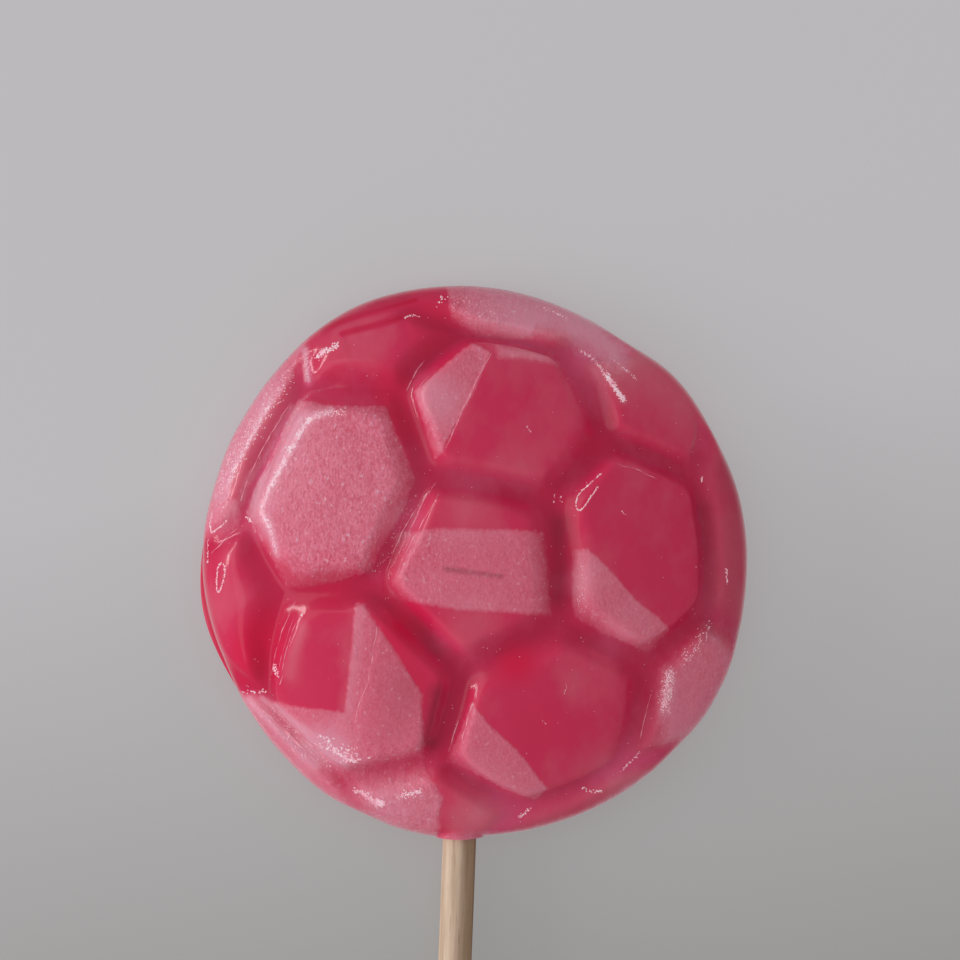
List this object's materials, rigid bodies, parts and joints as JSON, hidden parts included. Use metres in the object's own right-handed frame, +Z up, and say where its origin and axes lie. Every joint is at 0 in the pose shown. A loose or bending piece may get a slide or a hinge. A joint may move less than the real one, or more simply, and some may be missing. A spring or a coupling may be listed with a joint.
{
  "type": "lollipop",
  "caption": "Flat-backed boiled-sugar lollipop, cast as a low dome with a football panel pattern in pearly pink and clear red sugar, on a round wooden stick.",
  "frame": {"origin": "middle of the flat back of the round sweet, on the surface it rests on", "axes": "+Z up out of the patterned face, +Y from the stick towards the top of the sweet, so the stick runs along -Y"},
  "size_m": [0.0648, 0.1807, 0.014],
  "materials": {
    "boiled_sugar": "glossy, marbled pearly pink and clear red",
    "stick_wood": "plain sanded birch"
  },
  "bodies": {
    "root": {"candy_head": "boiled_sugar", "stick": "stick_wood"}
  },
  "joints": []
}
